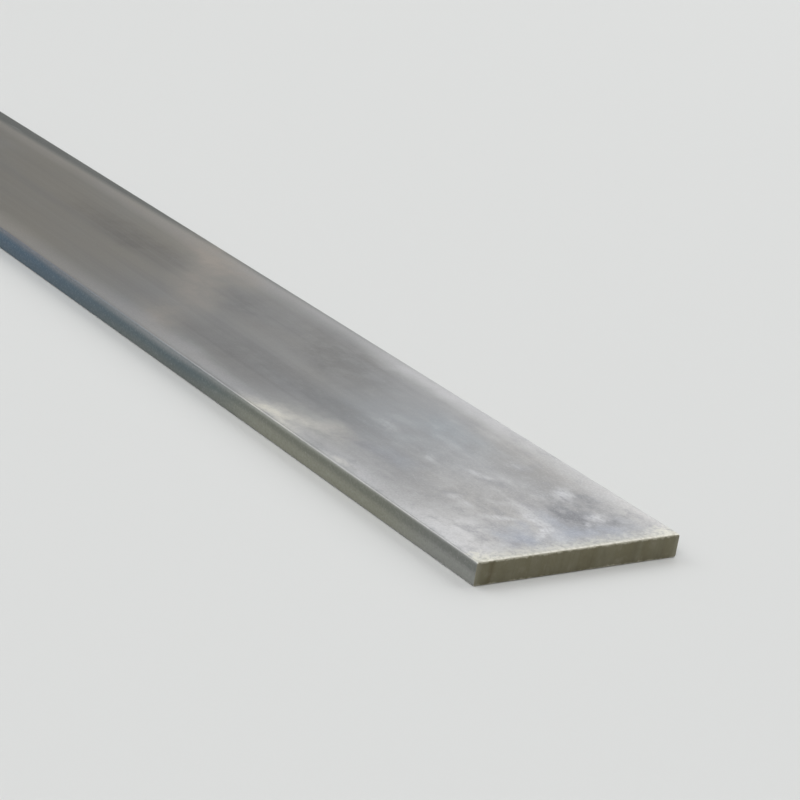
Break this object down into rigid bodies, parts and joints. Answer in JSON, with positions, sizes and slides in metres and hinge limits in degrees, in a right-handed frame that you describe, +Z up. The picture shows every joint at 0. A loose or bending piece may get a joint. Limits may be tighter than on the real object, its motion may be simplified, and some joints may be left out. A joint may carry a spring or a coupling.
{
  "type": "metal flat bar",
  "caption": "Straight flat bar of bare metal with a plain rectangular section, finely rounded long edges and square sawn ends, for framing, brackets, braces and trim.",
  "frame": {"origin": "middle of the underside, on the surface that the bar lies on", "axes": "+X along the bar, +Y across its width, +Z up through its thickness"},
  "size_m": [1, 0.05, 0.005],
  "materials": {
    "mill_finish_aluminium": "dull mill finish, handled and lightly scuffed, with grey sawn ends"
  },
  "bodies": {
    "root": {"flat_bar": "mill_finish_aluminium"}
  },
  "joints": []
}
